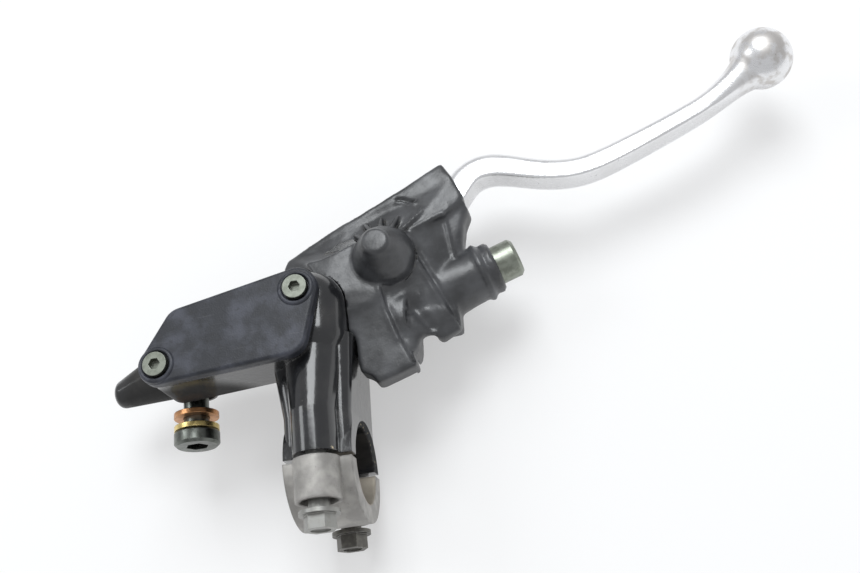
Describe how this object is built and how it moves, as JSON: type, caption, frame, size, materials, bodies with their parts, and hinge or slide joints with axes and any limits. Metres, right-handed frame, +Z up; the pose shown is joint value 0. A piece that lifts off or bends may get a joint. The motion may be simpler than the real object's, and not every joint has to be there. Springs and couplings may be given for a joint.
{
  "type": "motorcycle front brake master cylinder",
  "caption": "Handlebar brake master cylinder with slanted fluid reservoir, bolted clamp, rubber-booted pivot and a ball-ended lever.",
  "frame": {"origin": "centre of the handlebar bore, midway along the clamp", "axes": "+X along the handlebar towards the lever's ball, +Y forwards from the bar to the lever, +Z up through the reservoir cap"},
  "size_m": [0.221, 0.1385, 0.0507],
  "materials": {
    "cast_black": "gloss black paint on cast aluminium",
    "cap_black": "satin black, scuffed",
    "clamp_alloy": "matt cast aluminium",
    "bright_zinc": "zinc-plated steel",
    "dark_steel": "dark plated steel",
    "green_zinc": "olive passivated zinc",
    "rubber": "matt moulded rubber",
    "seal_rubber": "smooth rubber",
    "lever_alloy": "satin polished aluminium",
    "piston_alloy": "anodised aluminium",
    "spring_steel": "spring steel",
    "copper": "copper",
    "brass": "brass",
    "bronze": "bronze bush",
    "moulded": "moulded plastic"
  },
  "bodies": {
    "casting": {"master_body": "cast_black", "clamp_cap": "clamp_alloy", "clamp_bolts": "bright_zinc", "reservoir_cap": "cap_black", "cap_screws": "green_zinc", "diaphragm": "seal_rubber", "diaphragm_plate": "moulded", "port_shield": "bright_zinc", "piston_spring": "spring_steel", "stop_washer": "bright_zinc", "circlip": "spring_steel", "rod_boot": "seal_rubber", "banjo_bolt": "dark_steel", "brass_washer": "brass", "copper_washer": "copper", "pivot_bolt": "bright_zinc", "pivot_washer": "bright_zinc", "pivot_nut": "bright_zinc", "lever_boot": "rubber"},
    "lever_group": {"lever": "lever_alloy", "pivot_bush": "bronze", "adjuster_locknut": "green_zinc"},
    "adjuster": {"adjuster_bolt": "green_zinc"},
    "piston_group": {"piston": "piston_alloy", "primary_cup": "seal_rubber", "secondary_cup": "seal_rubber"},
    "rod_group": {"push_rod": "dark_steel"}
  },
  "joints": [
    {"name": "lever_pivot", "type": "hinge", "parent": "casting", "child": "lever_group", "pos_m": [0.0229, 0.0585, -0.003], "axis": [0, 0, 1], "range_deg": [-20, 0], "stiffness_Nm_per_rad": 0.8, "springref_deg": 2.86, "deforming": ["lever_boot"]},
    {"name": "piston_slide", "type": "slide", "parent": "casting", "child": "piston_group", "axis": [-1, 0, 0], "range_m": [0, 0.0052], "deforming": ["piston_spring"]},
    {"name": "push_rod_swivel", "type": "hinge", "parent": "piston_group", "child": "rod_group", "pos_m": [0.0099, 0.0415, -0.003], "axis": [0, 0, 1], "range_deg": [-4, 0]},
    {"name": "adjuster_turn", "type": "hinge", "parent": "lever_group", "child": "adjuster", "pos_m": [0.02709, 0.04685, -0.003], "axis": [0.9548, 0.2974, 0], "range_deg": [-180, 180]}
  ],
  "couplings": [
    {"joint": "piston_slide", "follows": "lever_pivot", "m_per_rad": -0.012737},
    {"joint": "push_rod_swivel", "follows": "lever_pivot", "ratio": 0.125}
  ]
}
